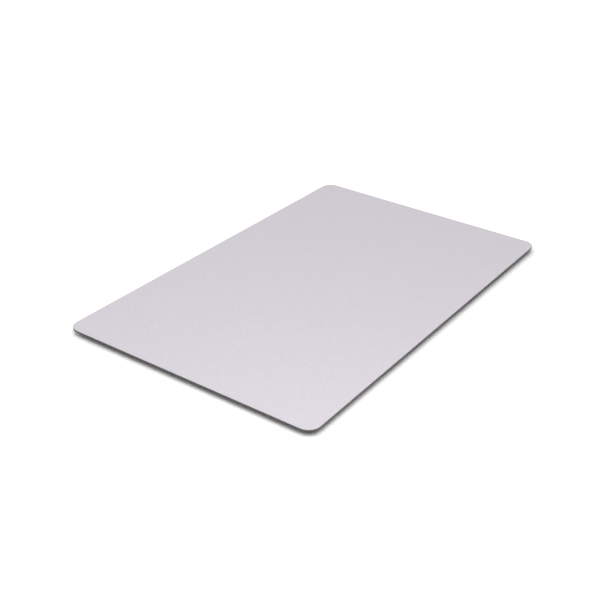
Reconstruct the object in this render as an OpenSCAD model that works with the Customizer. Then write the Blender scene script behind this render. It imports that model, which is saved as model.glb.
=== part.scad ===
// Built-in haptic trackpad module: a glass touch plate on four sprung corners over a steel tray.
// X runs along the long side, Y to the rear, Z up. The origin is the middle of the tray's underside.
// The touch plate presses down against the flexures and is shaken along Y by the electromagnet.

/* [Cover glass] */
// Width of the glass, left to right
glass_w = 160; // [150:0.5:190]
// Depth of the glass, front to rear
glass_d = 100; // [94:0.5:125]
// Thickness of the glass
glass_t = 0.75; // [0.5:0.05:1.2]
// Radius of the glass corners in plan
glass_corner_r = 4.4; // [2.5:0.1:8]
// Radius of the ground upper rim
glass_rim_r = 0.2; // [0.1:0.01:0.3]
// Chamfer of the lower rim
glass_chamfer = 0.1; // [0.05:0.01:0.15]

/* [Bonded layers] */
// Thickness of the adhesive sheet under the glass
adhesive_t = 0.1; // [0.05:0.01:0.2]
// Distance from the glass edge to the adhesive sheet
adhesive_inset = 2.6; // [2:0.1:5]
// Thickness of the sensor board
board_t = 0.45; // [0.3:0.05:0.8]
// Distance from the glass edge to the sensor board
board_inset = 2; // [1.5:0.1:3]
// Radius of the board and adhesive corners
board_corner_r = 2.8; // [1.5:0.1:5]
// Radius of the two locating notches in the board's short edges
board_notch_r = 1.2; // [0.8:0.1:2]
// Thickness of the steel stiffener under the board
stiffener_t = 0.2; // [0.15:0.05:0.4]
// Gap between the stiffener and the inner face of the tray's lip
stiffener_gap = 0.5; // [0.4:0.05:1]
// Radius of the stiffener corners
stiffener_corner_r = 3; // [2:0.1:5]

/* [Travel] */
// How far the touch plate sinks under a finger
press_travel = 0.2; // [0.1:0.01:0.22]
// How far the electromagnet shakes the plate to each side
haptic_travel = 0.15; // [0.05:0.01:0.2]
// Room left above the tray's lip when the plate is fully pressed
running_gap = 0.1; // [0.05:0.01:0.14]

/* [Corner suspension] */
// Distance from the glass edges to the centre of each gel pad
pad_inset = 14; // [13:0.1:16]
// Radius of a gel pad
gel_r = 4.4; // [3:0.1:5]
// Thickness of a gel pad
gel_t = 0.3; // [0.25:0.01:0.6]
// How far the side of a gel pad bulges
gel_bulge = 0.12; // [0.05:0.01:0.15]
// Thickness of the spring steel flexures
flexure_t = 0.25; // [0.2:0.01:0.4]
// Radius of the round tongue that carries a gel pad
tongue_r = 5.5; // [5.2:0.1:6]
// Distance from a gel pad's centre to the near edge of the riveted foot
flexure_reach = 18; // [16.5:0.1:20]
// Width of the flexure arm
arm_w = 6.5; // [5.5:0.1:8]
// Radius of the two scallops that narrow the arm under the gauge
waist_r = 4; // [3:0.1:5]
// Depth of each scallop
waist_depth = 1.1; // [0.8:0.1:1.3]
// Length of the riveted foot
foot_l = 12; // [10:0.1:13]
// Width of the riveted foot
foot_w = 11; // [10:0.1:12]
// Radius of the foot's corners
foot_corner_r = 1.5; // [1:0.1:2.5]
// Room round the arm and tongue in the tray's opening
flexure_room = 1; // [0.6:0.1:1.4]
// Radius of a rivet's shank
rivet_r = 0.6; // [0.5:0.05:0.7]
// Radius of a rivet's head
rivet_head_r = 1.1; // [1:0.05:1.3]
// Height of a rivet's head
rivet_head_h = 0.18; // [0.1:0.01:0.2]
// Depth of the countersunk tail of a rivet
rivet_tail_h = 0.15; // [0.1:0.01:0.2]
// Rivet spacing along the foot
rivet_pitch_l = 6.4; // [5.5:0.1:7]
// Rivet spacing across the foot
rivet_pitch_w = 7; // [6.4:0.1:7.5]
// Radius of a rubber stop under the stiffener
stop_r = 1.6; // [1:0.1:2]
// Distance of a rubber stop from the foot's near edge
stop_inset = 5; // [3:0.1:6]
// Room round the foot and the gauge's tail in the stiffener's notches
notch_room = 1; // [0.6:0.1:1.4]

/* [Strain gauges] */
// Thickness of the gauge film and its tail
gauge_t = 0.08; // [0.05:0.01:0.12]
// Length of the gauge film on the arm
gauge_l = 8; // [6:0.1:9]
// Width of the gauge film on the arm
gauge_w = 3.2; // [2.6:0.1:3.6]
// Width of the tail that runs up to the board
tail_w = 2.4; // [1.5:0.1:3]
// Length over which the tail climbs to the board
tail_rise_l = 6; // [4:0.1:7]
// Length of the soldered end of the tail
tail_pad_l = 4; // [2:0.1:4.5]

/* [Base tray] */
// Thickness of the tray's steel sheet
base_t = 0.4; // [0.35:0.01:0.6]
// Distance from the glass edge to the tray's lip
base_inset = 5; // [4.5:0.1:6]
// Radius of the tray's flat corners
base_corner_r = 3; // [2:0.1:5]
// Outer radius of the lip's bend
bend_r = 0.7; // [0.65:0.01:0.8]
// Length of lip left off at each corner
corner_relief = 6; // [4.5:0.1:9]
// Radius of the corners of all openings
window_corner_r = 1.8; // [1:0.1:2.5]
// Width of the ribs between the side openings
window_rib = 2.5; // [2:0.1:4]
// Width of solid sheet from the tray's edge to the side openings
side_rim = 9; // [8.8:0.1:10]
// Distance from the electromagnet's bar to the side openings
centre_rim = 14; // [13:0.1:16]
// Distance in Y from a gel pad's centre to the side openings
row_margin = 12; // [11.5:0.1:13]
// Side length of the front and rear openings
middle_window = 13; // [10:0.1:13]
// Spacing of the front openings
middle_pitch = 16.5; // [15:0.1:17]
// Distance of the front and rear openings' centres from the tray's edge
middle_inset = 20.5; // [18:0.1:21]
// Width of the pressed beads that stiffen the tray
bead_w = 2; // [1.4:0.1:2.4]
// Height of the beads
bead_h = 0.2; // [0.1:0.01:0.24]
// Width of a bead's sloping flank
bead_slope = 0.4; // [0.2:0.05:0.6]
// Distance of the front and rear beads from the tray's edge
bead_inset = 10.2; // [9.8:0.1:10.6]
// Distance of the middle beads from the side openings
bead_side_gap = 3.5; // [2.5:0.1:4]
// Gap between a bead's end and a nut's flange
bead_nut_gap = 1.5; // [1:0.1:3]

/* [Mounting nuts] */
// Radius of the threaded bore, M1.6
nut_bore_r = 0.65; // [0.6:0.01:0.8]
// Radius of the pressed shank
nut_shank_r = 1.3; // [1.1:0.05:1.5]
// Radius of the nut's flange
nut_flange_r = 1.9; // [1.7:0.05:2.1]
// Height of the nut's flange above the sheet
nut_flange_h = 0.4; // [0.25:0.01:0.42]
// Distance of the front and rear nuts from the middle, along X
nut_front_x = 20; // [19:0.1:21]
// Distance of the front and rear nuts from the tray's edge
nut_front_inset = 6.5; // [6:0.1:7]
// Distance of the side nuts from the tray's edge
nut_side_inset = 5; // [4.9:0.1:5.1]
// Distance of the middle nuts from the end of the electromagnet's bar
nut_middle_gap = 7; // [6:0.1:8]
// Fit of pressed shanks, pins and wound coils
press_gap = 0.02; // [0.01:0.01:0.04]

/* [Electromagnet] */
// Number of core legs, each with a coil
leg_count = 4; // [3:1:4]
// Spacing of the core legs
leg_pitch = 11; // [10:0.1:11.5]
// Width of a core leg
leg_w = 7.6; // [7:0.1:8]
// Length of a core leg
leg_l = 7.5; // [7:0.1:8]
// Depth of the bar that joins the legs
bar_d = 4; // [3.6:0.1:4.5]
// Length of bar beyond the outer legs, for the screws
bar_end = 3.7; // [3.5:0.1:4.5]
// Thickness of the core
core_t = 0.45; // [0.3:0.01:0.5]
// Depth of the seat etched into the tray for the bar
seat_depth = 0.2; // [0.1:0.01:0.22]
// Thickness of a winding above and below its leg
winding_t = 0.17; // [0.1:0.01:0.18]
// Thickness of a winding beside its leg
winding_w = 0.3; // [0.2:0.01:0.45]
// Length of a coil along its leg
coil_l = 5.6; // [4:0.1:6]
// Distance from the bar to a coil
coil_gap = 0.3; // [0.1:0.05:0.5]
// Radius of a coil's outer edges
coil_edge_r = 0.3; // [0.15:0.01:0.35]
// Gap between the core legs and the armature
air_gap = 0.35; // [0.3:0.01:0.6]
// Depth of the armature's pole bar
pole_d = 2.5; // [1.5:0.1:3]
// Height of the armature's pole bar
pole_h = 0.7; // [0.5:0.01:0.72]
// Depth of the armature's flange
flange_d = 4.5; // [3.5:0.1:5]
// Thickness of the armature's flange
flange_t = 0.25; // [0.15:0.01:0.3]
// Length of armature beyond the outer legs
armature_end = 1.5; // [0.5:0.1:2]
// Distance from the armature's ends to its outer rivets
armature_rivet_inset = 3; // [2:0.1:4]
// Room round the magnet in the openings of the tray and the stiffener
magnet_room = 0.6; // [0.4:0.05:1]
// Radius of a core screw's shank
screw_r = 0.6; // [0.5:0.05:0.7]
// Distance from the bar's ends to the outer screws
screw_inset = 2; // [1.6:0.1:2.4]
// Distance from the bar's free edge to the screws
screw_edge = 1.6; // [1.4:0.1:1.7]
// Radius of a core screw's head
screw_head_r = 1; // [0.9:0.05:1.1]
// Height of a core screw's head
screw_head_h = 0.2; // [0.12:0.01:0.22]
// Width across the corners of a screw's drive recess
screw_drive = 0.9; // [0.6:0.05:1.1]
// Thickness of the coil ribbon
ribbon_t = 0.1; // [0.06:0.01:0.12]
// Width of the ribbon's strip along the bar
ribbon_strip_w = 1.1; // [0.8:0.05:1.2]
// Width of the ribbon's tail
ribbon_tail_w = 5; // [3:0.1:5]
// Distance of the ribbon's tail from the middle screw
ribbon_x = 5; // [4.6:0.1:7]
// Length over which the ribbon climbs to the board
ribbon_rise_l = 4; // [3:0.1:4.2]
// Length of the ribbon's soldered end
ribbon_pad_l = 2.5; // [1.5:0.1:2.6]

/* [Chips] */
// Side of the touch controller
touch_chip = 8; // [5:0.1:8]
// Side of the main controller
main_chip = 7; // [5:0.1:8]
// Side of the force converter
force_chip = 4; // [3:0.1:6]
// Side of the coil driver
driver_chip = 5; // [3:0.1:6]
// Side of the motion sensor
motion_chip = 2.5; // [2:0.1:4]
// Length of the memory chip
memory_l = 5; // [3:0.1:6]
// Width of the memory chip
memory_w = 4; // [2:0.1:5]
// Height of the chips
chip_h = 0.5; // [0.3:0.01:0.55]
// Radius of a chip's corners in plan
chip_corner_r = 0.25; // [0.15:0.01:0.4]
// Chamfer of a chip's free edges
chip_chamfer = 0.06; // [0.03:0.01:0.1]
// Side of the boost inductor
inductor_w = 4; // [2:0.1:5]
// Length of the clock crystal's can
crystal_l = 3.2; // [2:0.1:4]
// Width of the clock crystal's can
crystal_w = 2.5; // [1.6:0.1:3]
// Length of a small capacitor or resistor
small_l = 1; // [0.6:0.05:1.2]
// Width of a small capacitor or resistor
small_w = 0.5; // [0.3:0.05:0.6]
// Length of a small part's soldered caps
small_cap_l = 0.25; // [0.1:0.01:0.3]
// How far the caps stand proud of the body
small_cap_step = 0.02; // [0.01:0.005:0.04]
// Height of a small capacitor
capacitor_h = 0.45; // [0.3:0.01:0.5]
// Height of a small resistor
resistor_h = 0.32; // [0.2:0.01:0.4]
// Spacing of the small parts in a row
small_pitch = 1.15; // [0.9:0.05:1.4]
// Gap between a chip and its rows of small parts
small_gap = 0.5; // [0.3:0.05:0.6]
// Length of a storage capacitor
storage_l = 3.5; // [2:0.1:4]
// Width of a storage capacitor
storage_w = 2.2; // [1.2:0.1:3]

/* [Host connector] */
// Width of the connector housing
conn_w = 13; // [12.5:0.1:15]
// Depth of the connector housing
conn_d = 3.6; // [3.4:0.1:4.5]
// Height of the connector housing
conn_h = 0.85; // [0.8:0.01:0.9]
// Distance of the connector from the tray's rear edge
conn_inset = 18; // [17:0.1:19]
// Room beside the connector in the openings
conn_side_room = 1.1; // [0.8:0.1:1.5]
// Room for the cable in front of and behind the connector
conn_cable_room = 4.7; // [4:0.1:5]
// Thickness of the housing's end cheeks
cheek_w = 1.15; // [1:0.05:1.3]
// Height of the cable slot
slot_h = 0.28; // [0.2:0.01:0.3]
// Distance from the board to the cable slot
slot_lift = 0.19; // [0.15:0.01:0.22]
// Depth of the cable slot
slot_d = 2.3; // [1.8:0.1:2.6]
// Number of contacts
contact_count = 20; // [10:1:20]
// Spacing of the contacts
contact_pitch = 0.5; // [0.4:0.01:0.5]
// Width of a contact
contact_w = 0.2; // [0.12:0.01:0.24]
// Thickness of the contact strip
contact_t = 0.08; // [0.05:0.01:0.09]
// Length of a contact's soldered tail
contact_tail = 0.6; // [0.3:0.05:0.8]
// Length of tail inside the housing's back
contact_root = 0.3; // [0.2:0.05:0.5]
// Length over which a contact steps down to the slot
contact_step = 0.2; // [0.1:0.05:0.4]
// Distance from the slot's mouth to a contact's tip
contact_setback = 0.6; // [0.5:0.05:0.8]
// Room round a contact in its groove
groove_gap = 0.03; // [0.02:0.01:0.05]
// Thickness of the flip latch
latch_t = 0.28; // [0.2:0.01:0.3]
// Length of the flip latch beyond its pivot
latch_l = 1.45; // [1.2:0.05:1.6]
// Distance of the latch's pivot from the housing's middle
pivot_y = 0.45; // [0.4:0.01:0.6]
// Radius of the latch's pivot pins
pivot_r = 0.12; // [0.09:0.01:0.13]
// Room round the latch and its pins
latch_gap = 0.04; // [0.03:0.01:0.05]
// Width of a solder anchor beside the housing
anchor_w = 0.9; // [0.6:0.05:1]
// Thickness of a solder anchor
anchor_t = 0.15; // [0.1:0.01:0.2]
// Height of a solder anchor along the housing's end
anchor_h = 0.6; // [0.3:0.05:0.8]

/* [Hidden] */
$fn = 48;
// Overlap that lets a cut pass clean through a face
cut = 0.5;

// Heights of the stack, from the tray's underside up
flexure_top = base_t + flexure_t;
gel_top = flexure_top + gel_t;
board_z = gel_top + stiffener_t;
board_top = board_z + board_t;
glass_z = board_top + adhesive_t;
head_top = flexure_top + rivet_head_h;
lip_h = board_z - press_travel - running_gap;

// Tray
base_w = glass_w - 2 * base_inset;
base_d = glass_d - 2 * base_inset;
stiffener_w = base_w - 2 * (base_t + stiffener_gap);
stiffener_d = base_d - 2 * (base_t + stiffener_gap);

// Corner suspension, measured from the centre of a gel pad towards the middle of the tray
pad_x = glass_w / 2 - pad_inset;
pad_y = glass_d / 2 - pad_inset;
foot_end = flexure_reach + foot_l;
tail_end = foot_end + tail_rise_l + tail_pad_l;
gauge_mid = (tongue_r + flexure_reach) / 2;
notch_start = tongue_r + notch_room;
notch_end = tail_end + notch_room;
notch_half = foot_w / 2 + notch_room;

// Electromagnet, laid out along Y about the middle of the tray
core_z = base_t - seat_depth;
core_top = core_z + core_t;
legs_half = (leg_count - 1) * leg_pitch / 2 + leg_w / 2;
bar_half = legs_half + bar_end;
bar_y = -(bar_d + leg_l + air_gap + pole_d + flange_d) / 2;
leg_y = bar_y + bar_d;
pole_y = leg_y + leg_l + air_gap;
flange_y = pole_y + pole_d;
armature_half = legs_half + armature_end;
coil_y = leg_y + coil_gap;
magnet_half = max(legs_half + winding_w, armature_half) + magnet_room;
magnet_end = flange_y + flange_d + haptic_travel + magnet_room;
magnet_window_y = bar_y - haptic_travel - magnet_room;
magnet_window_end = coil_y + coil_l + haptic_travel + magnet_room;
screw_x = bar_half - screw_inset;
screw_y = bar_y + screw_edge;
ribbon_y = leg_y - ribbon_strip_w;
ribbon_end = bar_y - ribbon_rise_l - ribbon_pad_l;
armature_rivet_y = flange_y + flange_d / 2;
armature_rivet_x = armature_half - armature_rivet_inset;

// Side openings: two columns and three rows on each side
side_x0 = bar_half + centre_rim;
side_x1 = base_w / 2 - side_rim;
side_y1 = pad_y - row_margin;
side_cols = 2;
side_rows = 3;
side_w = (side_x1 - side_x0 - (side_cols - 1) * window_rib) / side_cols;
side_d = (2 * side_y1 - (side_rows - 1) * window_rib) / side_rows;
inner_x = side_x0 + side_w / 2;
outer_x = side_x1 - side_w / 2;
row_pitch = side_d + window_rib;
middle_y = base_d / 2 - middle_inset;
// The stiffener's openings also clear the rows of small parts beside the widest chip
chip_window_w = max(side_w, touch_chip + 2 * (small_l + 2 * small_gap));

// Mounting nuts
nut_middle_x = bar_half + nut_middle_gap;
nut_places = concat(
    [for (x = [-1, 1], y = [-1, 1]) [x * nut_front_x, y * (base_d / 2 - nut_front_inset)]],
    [for (x = [-1, 1], y = [-1, 1]) [x * (base_w / 2 - nut_side_inset), y * row_pitch / 2]],
    [for (x = [-1, 1]) [x * nut_middle_x, 0]]);

// Pressed beads: one along the front and rear edges, and two on each side of the magnet
bead_end_y = base_d / 2 - bead_inset;
bead_front_l = 2 * (nut_front_x - nut_flange_r - bead_nut_gap);
bead_side_x = side_x0 - bead_side_gap;
bead_side_l = side_y1 - nut_flange_r - bead_nut_gap;

// Host connector, with its heights measured down from the board
conn_y = base_d / 2 - conn_inset;
conn_window_w = conn_w + 2 * (anchor_w + conn_side_room);
conn_window_d = conn_d + 2 * conn_cable_room;
latch_lift = conn_h - latch_t;
pivot_lift = latch_lift + latch_t / 2;
latch_w = conn_w - 2 * (cheek_w + latch_gap);

// Rounded rectangle about the origin, with true arcs at its corners.
module rounded_rect(w, d, r) {
    square([w - 2 * r, d], center = true);
    square([w, d - 2 * r], center = true);
    for (x = [-1, 1], y = [-1, 1])
        translate([x * (w / 2 - r), y * (d / 2 - r)])
            circle(r);
}

// Plate with rounded corners whose edge has the given profile, drawn from the corner's centre outward.
module edged_plate(w, d, r, h, profile) {
    translate([r - w / 2, r - d / 2, 0])
        cube([w - 2 * r, d - 2 * r, h]);
    for (side = [0:3]) {
        across = side % 2 == 0 ? w : d;
        along = side % 2 == 0 ? d : w;
        rotate([0, 0, 90 * side])
            translate([across / 2 - r, along / 2 - r, 0]) {
                rotate([90, 0, 0])
                    linear_extrude(along - 2 * r)
                        polygon(profile);
                rotate_extrude(angle = 90)
                    polygon(profile);
            }
    }
}

// Places its children at one corner: they are drawn for the right rear, with the pad's centre at 0,0.
module at_corner(side, end) {
    scale_x = side < 0 ? 1 : 0;
    scale_y = end < 0 ? 1 : 0;
    mirror([scale_x, 0, 0])
        mirror([0, scale_y, 0])
            translate([pad_x, pad_y, 0])
                children();
}

// Rivet places on a flexure's foot, measured from the gel pad's centre.
module at_foot_rivets() {
    for (along = [-1, 1], across = [-1, 1])
        translate([-flexure_reach - foot_l / 2 + along * rivet_pitch_l / 2, across * rivet_pitch_w / 2, 0])
            children();
}

module at_all_corners() {
    for (side = [-1, 1], end = [-1, 1])
        at_corner(side, end)
            children();
}

module at_armature_rivets() {
    for (step = [-1.5, -0.5, 0.5, 1.5])
        translate([step * armature_rivet_x / 1.5, armature_rivet_y, 0])
            children();
}

module at_core_screws() {
    for (x = [-screw_x, 0, screw_x])
        translate([x, screw_y, 0])
            children();
}

module at_nuts() {
    for (place = nut_places)
        translate([place[0], place[1], 0])
            children();
}

// Outline of the arm and tongue, grown by a margin for the opening below them.
module arm_outline(margin) {
    circle(tongue_r + margin);
    translate([-flexure_reach, -arm_w / 2 - margin])
        square([flexure_reach, arm_w + 2 * margin]);
}

module side_windows(w) {
    for (side = [-1, 1], col = [0 : side_cols - 1], row = [0 : side_rows - 1])
        translate([side * (inner_x + col * (side_w + window_rib)), (row - (side_rows - 1) / 2) * row_pitch])
            rounded_rect(w, side_d, window_corner_r);
}

module middle_windows() {
    for (x = [-middle_pitch, 0, middle_pitch])
        translate([x, -middle_y])
            rounded_rect(middle_window, middle_window, window_corner_r);
    for (x = [-1, 1])
        translate([x * (conn_window_w / 2 + middle_window / 2 + window_rib), middle_y])
            rounded_rect(middle_window, middle_window, window_corner_r);
    translate([0, conn_y])
        rounded_rect(conn_window_w, conn_window_d, window_corner_r);
}

// Pressed bead along X with round ends, lying on the XY plane.
module bead(l) {
    half = bead_w / 2;
    flank = [[0, 0], [half, 0], [half - bead_slope, bead_h], [0, bead_h]];
    for (end = [0, 1])
        mirror([end, 0, 0])
            translate([(l - bead_w) / 2, 0, 0]) {
                rotate([0, 0, -90])
                    rotate_extrude(angle = 180)
                        polygon(flank);
                for (side = [0, 1])
                    mirror([0, side, 0])
                        rotate([90, 0, -90])
                            linear_extrude((l - bead_w) / 2)
                                mirror([1, 0])
                                    polygon(flank);
            }
}

module at_beads() {
    for (end = [-1, 1])
        translate([0, end * bead_end_y, 0])
            bead(bead_front_l);
    for (side = [-1, 1], end = [-1, 1])
        translate([side * bead_side_x, end * (side_y1 - bead_side_l / 2), 0])
            rotate([0, 0, 90])
                bead(bead_side_l);
}

// Section of the lip: a quarter bend and the short wall above it.
module lip_section() {
    intersection() {
        translate([0, bend_r])
            difference() {
                circle(bend_r);
                circle(bend_r - base_t);
            }
        square([bend_r, bend_r]);
    }
    translate([bend_r - base_t, bend_r])
        square([base_t, lip_h - bend_r]);
}

// Pressed steel tray with a lip on each side, openings, and an etched seat for the magnet's bar.
module base_tray() {
    color("silver")
        difference() {
            union() {
                linear_extrude(base_t)
                    difference() {
                        rounded_rect(base_w - 2 * bend_r, base_d - 2 * bend_r, base_corner_r);
                        side_windows(side_w);
                        middle_windows();
                        translate([0, (leg_y + magnet_end) / 2])
                            rounded_rect(2 * magnet_half, magnet_end - leg_y, window_corner_r);
                    }
                for (side = [0:3]) {
                    across = side % 2 == 0 ? base_w : base_d;
                    along = side % 2 == 0 ? base_d : base_w;
                    rotate([0, 0, 90 * side])
                        translate([across / 2 - bend_r, along / 2 - corner_relief, 0])
                            rotate([90, 0, 0])
                                linear_extrude(along - 2 * corner_relief)
                                    lip_section();
                }
                translate([0, 0, base_t])
                    at_beads();
            }
            at_beads();
            at_all_corners() {
                translate([0, 0, -cut])
                    linear_extrude(base_t + 2 * cut)
                        arm_outline(flexure_room);
                at_foot_rivets() {
                    translate([0, 0, -cut])
                        cylinder(r = rivet_r + press_gap, h = base_t + 2 * cut);
                    cylinder(r1 = rivet_r + rivet_tail_h, r2 = rivet_r, h = rivet_tail_h);
                }
            }
            translate([-bar_half - press_gap, bar_y - press_gap, core_z])
                cube([2 * (bar_half + press_gap), bar_d + press_gap + cut, seat_depth + cut]);
            at_core_screws()
                translate([0, 0, -cut])
                    cylinder(r = screw_r + press_gap, h = base_t + 2 * cut);
            at_nuts()
                translate([0, 0, -cut])
                    cylinder(r = nut_shank_r + press_gap, h = base_t + 2 * cut);
        }
}

// Flanged clinch nuts pressed into the tray: the module is screwed down through these from below.
module mounting_nuts() {
    color("gold")
        at_nuts()
            difference() {
                union() {
                    cylinder(r = nut_shank_r, h = base_t);
                    translate([0, 0, base_t])
                        cylinder(r = nut_flange_r, h = nut_flange_h);
                }
                translate([0, 0, -cut])
                    cylinder(r = nut_bore_r, h = base_t + nut_flange_h + 2 * cut);
            }
}

// Rubber stops on the tray that end the press travel.
module stop_pads() {
    stop_x = flexure_reach - stop_inset;
    stop_y = (side_y1 + pad_y - notch_half) / 2 - pad_y;
    stop_h = gel_top - press_travel - press_gap - base_t;
    color("dimgray")
        at_all_corners()
            translate([-stop_x, stop_y, base_t])
                rotate_extrude()
                    polygon([[0, 0], [stop_r, 0], [stop_r, stop_h / 2], [stop_r - stop_h / 2, stop_h], [0, stop_h]]);
}

module flexure_rivets() {
    color("lightgray")
        at_all_corners()
            at_foot_rivets()
                rotate_extrude()
                    polygon([
                        [0, 0], [rivet_r + rivet_tail_h - press_gap, 0], [rivet_r - press_gap, rivet_tail_h],
                        [rivet_r - press_gap, flexure_top], [rivet_head_r, flexure_top],
                        [rivet_head_r, head_top - rivet_head_h / 2], [rivet_head_r - rivet_head_h / 2, head_top],
                        [0, head_top]]);
}

// Spring steel flexure: a riveted foot, a waisted arm and a round tongue under the gel pad.
module flexure(side, end) {
    color("slategray")
        at_corner(side, end)
            translate([0, 0, base_t])
                linear_extrude(flexure_t)
                    difference() {
                        union() {
                            arm_outline(0);
                            translate([-flexure_reach - foot_l / 2, 0])
                                rounded_rect(foot_l, foot_w, foot_corner_r);
                        }
                        for (across = [-1, 1])
                            translate([-gauge_mid, across * (arm_w / 2 + waist_r - waist_depth)])
                                circle(waist_r);
                        at_foot_rivets()
                            circle(rivet_r + press_gap);
                    }
}

// Foil strain gauge on the arm, in one piece with the tail that climbs to the sensor board.
module strain_gauge(side, end) {
    rise_z = board_z - gauge_t;
    tail = [
        [-gauge_mid, flexure_top], [-foot_end, flexure_top], [-foot_end - tail_rise_l, rise_z],
        [-tail_end, rise_z]];
    ribbon = concat(tail, [for (i = [3:-1:0]) tail[i] + [0, gauge_t]]);
    color("peru")
        at_corner(side, end) {
            translate([-gauge_mid - gauge_l / 2, -gauge_w / 2, flexure_top])
                cube([gauge_l, gauge_w, gauge_t]);
            translate([0, tail_w / 2, 0])
                rotate([90, 0, 0])
                    linear_extrude(tail_w)
                        polygon(ribbon);
        }
}

// Comb of stacked steel sheets: a bar in the tray's seat and legs that point to the armature.
module magnet_core() {
    color("dimgray")
        translate([0, 0, core_z])
            linear_extrude(core_t)
                difference() {
                    union() {
                        translate([-bar_half, bar_y])
                            square([2 * bar_half, bar_d]);
                        for (i = [0 : leg_count - 1])
                            translate([i * leg_pitch - legs_half, leg_y])
                                square([leg_w, leg_l]);
                    }
                    at_core_screws()
                        circle(screw_r + press_gap);
                }
}

module core_screws() {
    color("lightgray")
        at_core_screws()
            difference() {
                union() {
                    cylinder(r = screw_r, h = core_top);
                    translate([0, 0, core_top])
                        cylinder(r = screw_head_r, h = screw_head_h);
                }
                translate([0, 0, core_top + screw_head_h / 2])
                    cylinder(d = screw_drive, h = screw_head_h, $fn = 6);
            }
}

// Flat copper coil round one leg of the core, counted from the left.
module coil(i) {
    color("chocolate")
        translate([i * leg_pitch - legs_half + leg_w / 2, coil_y + coil_l, core_z + core_t / 2])
            rotate([90, 0, 0])
                linear_extrude(coil_l)
                    difference() {
                        rounded_rect(leg_w + 2 * winding_w, core_t + 2 * winding_t, coil_edge_r);
                        square([leg_w + 2 * press_gap, core_t + 2 * press_gap], center = true);
                    }
}

// Printed ribbon that joins the coils along the bar and climbs to the sensor board.
module coil_ribbon() {
    rise_z = board_z - ribbon_t;
    tail = [
        [ribbon_y, core_top], [bar_y, core_top], [bar_y - ribbon_rise_l, rise_z], [ribbon_end, rise_z]];
    ribbon = concat(tail, [for (i = [3:-1:0]) tail[i] + [0, ribbon_t]]);
    color("orange") {
        translate([-legs_half, ribbon_y, core_top])
            cube([2 * legs_half, ribbon_strip_w, ribbon_t]);
        translate([ribbon_x - ribbon_tail_w / 2, 0, 0])
            rotate([90, 0, 90])
                linear_extrude(ribbon_tail_w)
                    polygon(ribbon);
    }
}

// Soft silicone disc between a flexure's tongue and the stiffener, bonded to both.
module gel_pad(side, end) {
    color("gainsboro")
        at_corner(side, end)
            translate([0, 0, flexure_top])
                rotate_extrude()
                    polygon([
                        [0, 0], [gel_r, 0], [gel_r + gel_bulge, gel_t / 3], [gel_r + gel_bulge, gel_t * 2 / 3],
                        [gel_r, gel_t], [0, gel_t]]);
}

// Glass plate with an etched top, a ground upper rim and a small chamfer below.
module cover_glass() {
    rim = [for (turn = [0:18:90])
        [glass_corner_r - glass_rim_r * (1 - cos(turn)), glass_t - glass_rim_r * (1 - sin(turn))]];
    profile = concat(
        [[0, 0], [glass_corner_r - glass_chamfer, 0], [glass_corner_r, glass_chamfer]], rim, [[0, glass_t]]);
    color("lavender")
        translate([0, 0, glass_z])
            edged_plate(glass_w, glass_d, glass_corner_r, glass_t, profile);
}

module glass_adhesive() {
    color("whitesmoke")
        translate([0, 0, board_top])
            linear_extrude(adhesive_t)
                rounded_rect(glass_w - 2 * adhesive_inset, glass_d - 2 * adhesive_inset, board_corner_r);
}

// Printed circuit board that carries the touch electrodes and all the electronics.
module sensor_board() {
    w = glass_w - 2 * board_inset;
    color("darkgreen")
        translate([0, 0, board_z])
            linear_extrude(board_t)
                difference() {
                    rounded_rect(w, glass_d - 2 * board_inset, board_corner_r);
                    for (side = [-1, 1])
                        translate([side * w / 2, 0])
                            circle(board_notch_r);
                }
}

// Steel sheet bonded under the board, open over the chips, the coils, the nuts and the flexure feet.
module stiffener_plate() {
    color("lightsteelblue")
        translate([0, 0, gel_top])
            linear_extrude(stiffener_t)
                difference() {
                    rounded_rect(stiffener_w, stiffener_d, stiffener_corner_r);
                    side_windows(chip_window_w);
                    middle_windows();
                    translate([0, (magnet_window_y + magnet_window_end) / 2])
                        rounded_rect(
                            2 * (bar_half + magnet_room), magnet_window_end - magnet_window_y, window_corner_r);
                    translate([ribbon_x - ribbon_tail_w / 2 - magnet_room, ribbon_end - magnet_room])
                        square([ribbon_tail_w + 2 * magnet_room, bar_y - ribbon_end]);
                    at_all_corners()
                        translate([-(notch_start + notch_end) / 2, (pad_inset - notch_half) / 2])
                            rounded_rect(notch_end - notch_start, notch_half + pad_inset, window_corner_r);
                    at_nuts()
                        circle(nut_flange_r + haptic_travel + magnet_room);
                    at_armature_rivets()
                        circle(rivet_r + press_gap);
                }
}

// Soft iron bar that the core's legs pull, with a flange riveted under the stiffener.
module armature() {
    color("gray")
        difference() {
            translate([-armature_half, 0, gel_top])
                rotate([90, 0, 90])
                    linear_extrude(2 * armature_half)
                        polygon([
                            [pole_y, 0], [pole_y, -pole_h], [flange_y, -pole_h], [flange_y, -flange_t],
                            [flange_y + flange_d, -flange_t], [flange_y + flange_d, 0]]);
            at_armature_rivets()
                translate([0, 0, gel_top - flange_t - cut])
                    cylinder(r = rivet_r + press_gap, h = flange_t + 2 * cut);
        }
}

module armature_rivets() {
    color("lightgray")
        at_armature_rivets()
            translate([0, 0, gel_top - flange_t - rivet_head_h])
                union() {
                    cylinder(r1 = rivet_head_r - rivet_head_h / 2, r2 = rivet_head_r, h = rivet_head_h / 2);
                    translate([0, 0, rivet_head_h / 2])
                        cylinder(r = rivet_head_r, h = rivet_head_h / 2);
                    translate([0, 0, rivet_head_h])
                        cylinder(r = rivet_r, h = flange_t + stiffener_t);
                }
}

// Moulded chip hanging from the board, with chamfered free edges.
module chip(x, y, l, w, h) {
    r = chip_corner_r;
    translate([x, y, board_z - h])
        edged_plate(l, w, r, h, [[0, 0], [r - chip_chamfer, 0], [r, chip_chamfer], [r, h], [0, h]]);
}

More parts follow.
